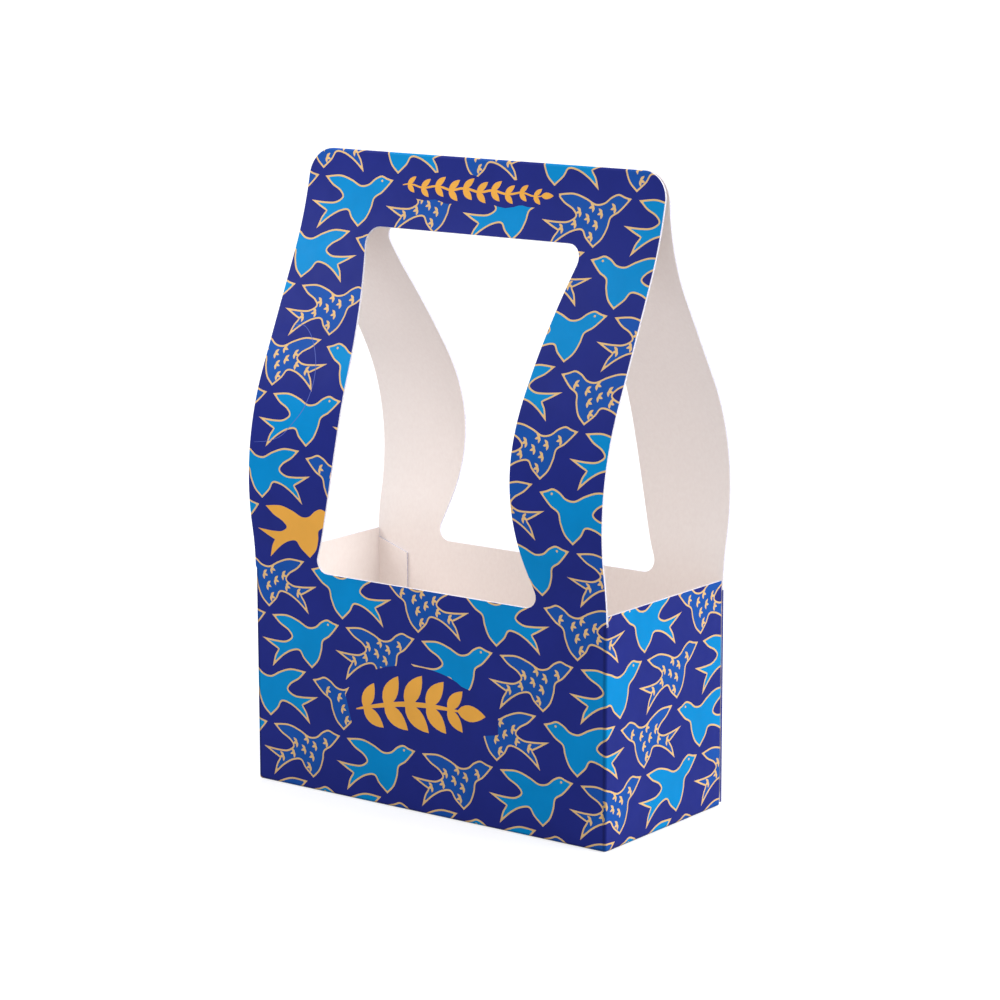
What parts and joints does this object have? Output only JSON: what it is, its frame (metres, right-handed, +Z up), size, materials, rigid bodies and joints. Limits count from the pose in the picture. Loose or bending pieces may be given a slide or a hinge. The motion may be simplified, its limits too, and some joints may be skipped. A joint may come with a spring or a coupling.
{
  "type": "cardboard cup carrier",
  "caption": "Folded cardboard carrier for tall drink cups: an open box whose front and rear walls rise into a windowed handle.",
  "frame": {"origin": "on the floor under the middle of the box", "axes": "+X along the front wall to the right as seen from the front, -Y out of the front wall, +Z up"},
  "size_m": [0.174, 0.0878, 0.256],
  "materials": {
    "printed_board": "satin printed outside, bare board inside"
  },
  "bodies": {
    "root": {"carrier": "printed_board"}
  },
  "joints": []
}
